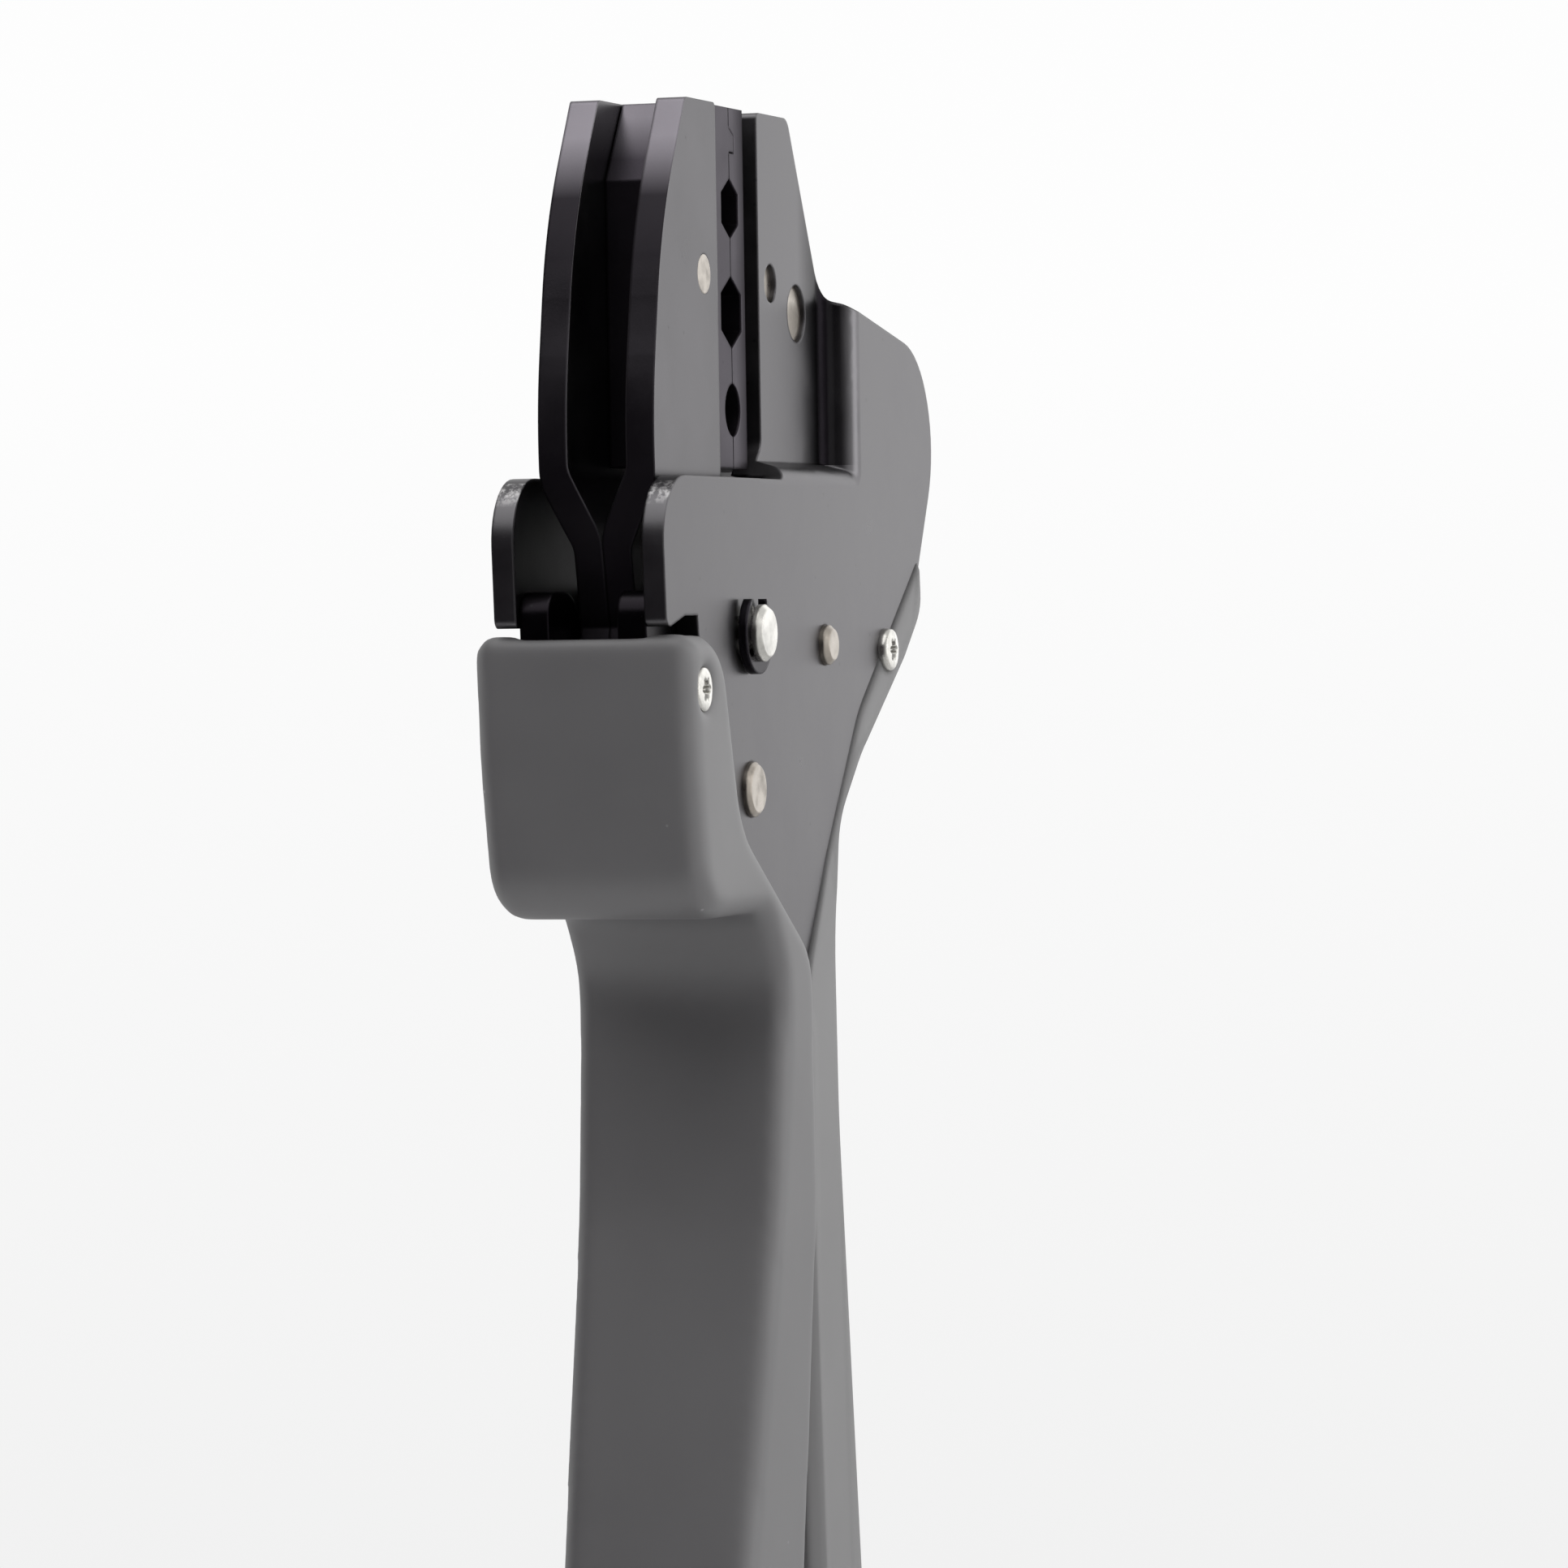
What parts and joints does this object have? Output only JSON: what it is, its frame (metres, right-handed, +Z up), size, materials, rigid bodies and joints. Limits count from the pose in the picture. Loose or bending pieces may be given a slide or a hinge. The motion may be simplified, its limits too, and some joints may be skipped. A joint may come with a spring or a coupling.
{
  "type": "ratchet crimping tool",
  "caption": "Hand crimping tool for coaxial connectors: formed steel jaws with hexagon and round dies, a toggle linkage and moulded grips.",
  "frame": {"origin": "under the middle of the tool's outline, on the surface that the handle ends stand on", "axes": "+Z up along the tool to the jaws, +X from the moving jaw to the fixed jaw, the side with the clip and screw heads at -Y"},
  "size_m": [0.0893, 0.0244, 0.2209],
  "materials": {
    "black_oxide_steel": "black oxide, satin",
    "plain_steel": "ground",
    "nickel_pin": "nickel plated, satin",
    "screw_steel": "zinc plated, bright",
    "grip_plastic": "moulded, fine matte"
  },
  "bodies": {
    "frame": {"frame_plate_near": "black_oxide_steel", "frame_plate_far": "black_oxide_steel", "fixed_die": "black_oxide_steel", "fixed_die_pin": "nickel_pin", "jaw_pivot_pin": "nickel_pin", "pivot_clip_near": "black_oxide_steel", "pivot_clip_far": "black_oxide_steel", "pivot_spacer_near": "black_oxide_steel", "pivot_spacer_far": "black_oxide_steel", "jaw_rivet": "nickel_pin", "rear_rivet": "nickel_pin", "anchor_pin": "nickel_pin", "adjusting_wheel": "plain_steel", "wheel_screw": "screw_steel", "fixed_grip": "grip_plastic", "fixed_grip_screw": "screw_steel"},
    "moving_jaw": {"jaw_plate_near": "black_oxide_steel", "jaw_plate_far": "black_oxide_steel", "moving_die": "black_oxide_steel", "moving_die_pin": "nickel_pin"},
    "moving_handle": {"handle_plate_near": "black_oxide_steel", "handle_plate_far": "black_oxide_steel", "link_pin": "nickel_pin", "toggle_pin": "nickel_pin", "pawl_pin": "nickel_pin", "moving_grip": "grip_plastic", "moving_grip_screw_near": "screw_steel", "moving_grip_screw_far": "screw_steel"},
    "pressure_arm": {"pressure_arm": "plain_steel"},
    "pawl": {"pawl": "plain_steel"}
  },
  "joints": [
    {"name": "handle_pivot", "type": "hinge", "parent": "moving_jaw", "child": "moving_handle", "pos_m": [-0.0335, 0, 0.1582], "axis": [0, 1, 0], "range_deg": [0, 32.9]},
    {"name": "jaw_pivot", "type": "hinge", "parent": "frame", "child": "moving_jaw", "pos_m": [-0.019, 0, 0.1672], "axis": [0, -1, 0], "range_deg": [0, 9]},
    {"name": "arm_pivot", "type": "hinge", "parent": "frame", "child": "pressure_arm", "pos_m": [-0.0188, 0, 0.1514], "axis": [0, -1, 0], "range_deg": [0, 28.8]},
    {"name": "pawl_pivot", "type": "hinge", "parent": "moving_handle", "child": "pawl", "pos_m": [-0.0276, 0, 0.1426], "axis": [0, 1, 0], "range_deg": [-18, 18], "stiffness_Nm_per_rad": 0.02}
  ],
  "couplings": [
    {"joint": "jaw_pivot", "follows": "handle_pivot", "ratio": 0.27352},
    {"joint": "arm_pivot", "follows": "handle_pivot", "ratio": 0.87445}
  ]
}
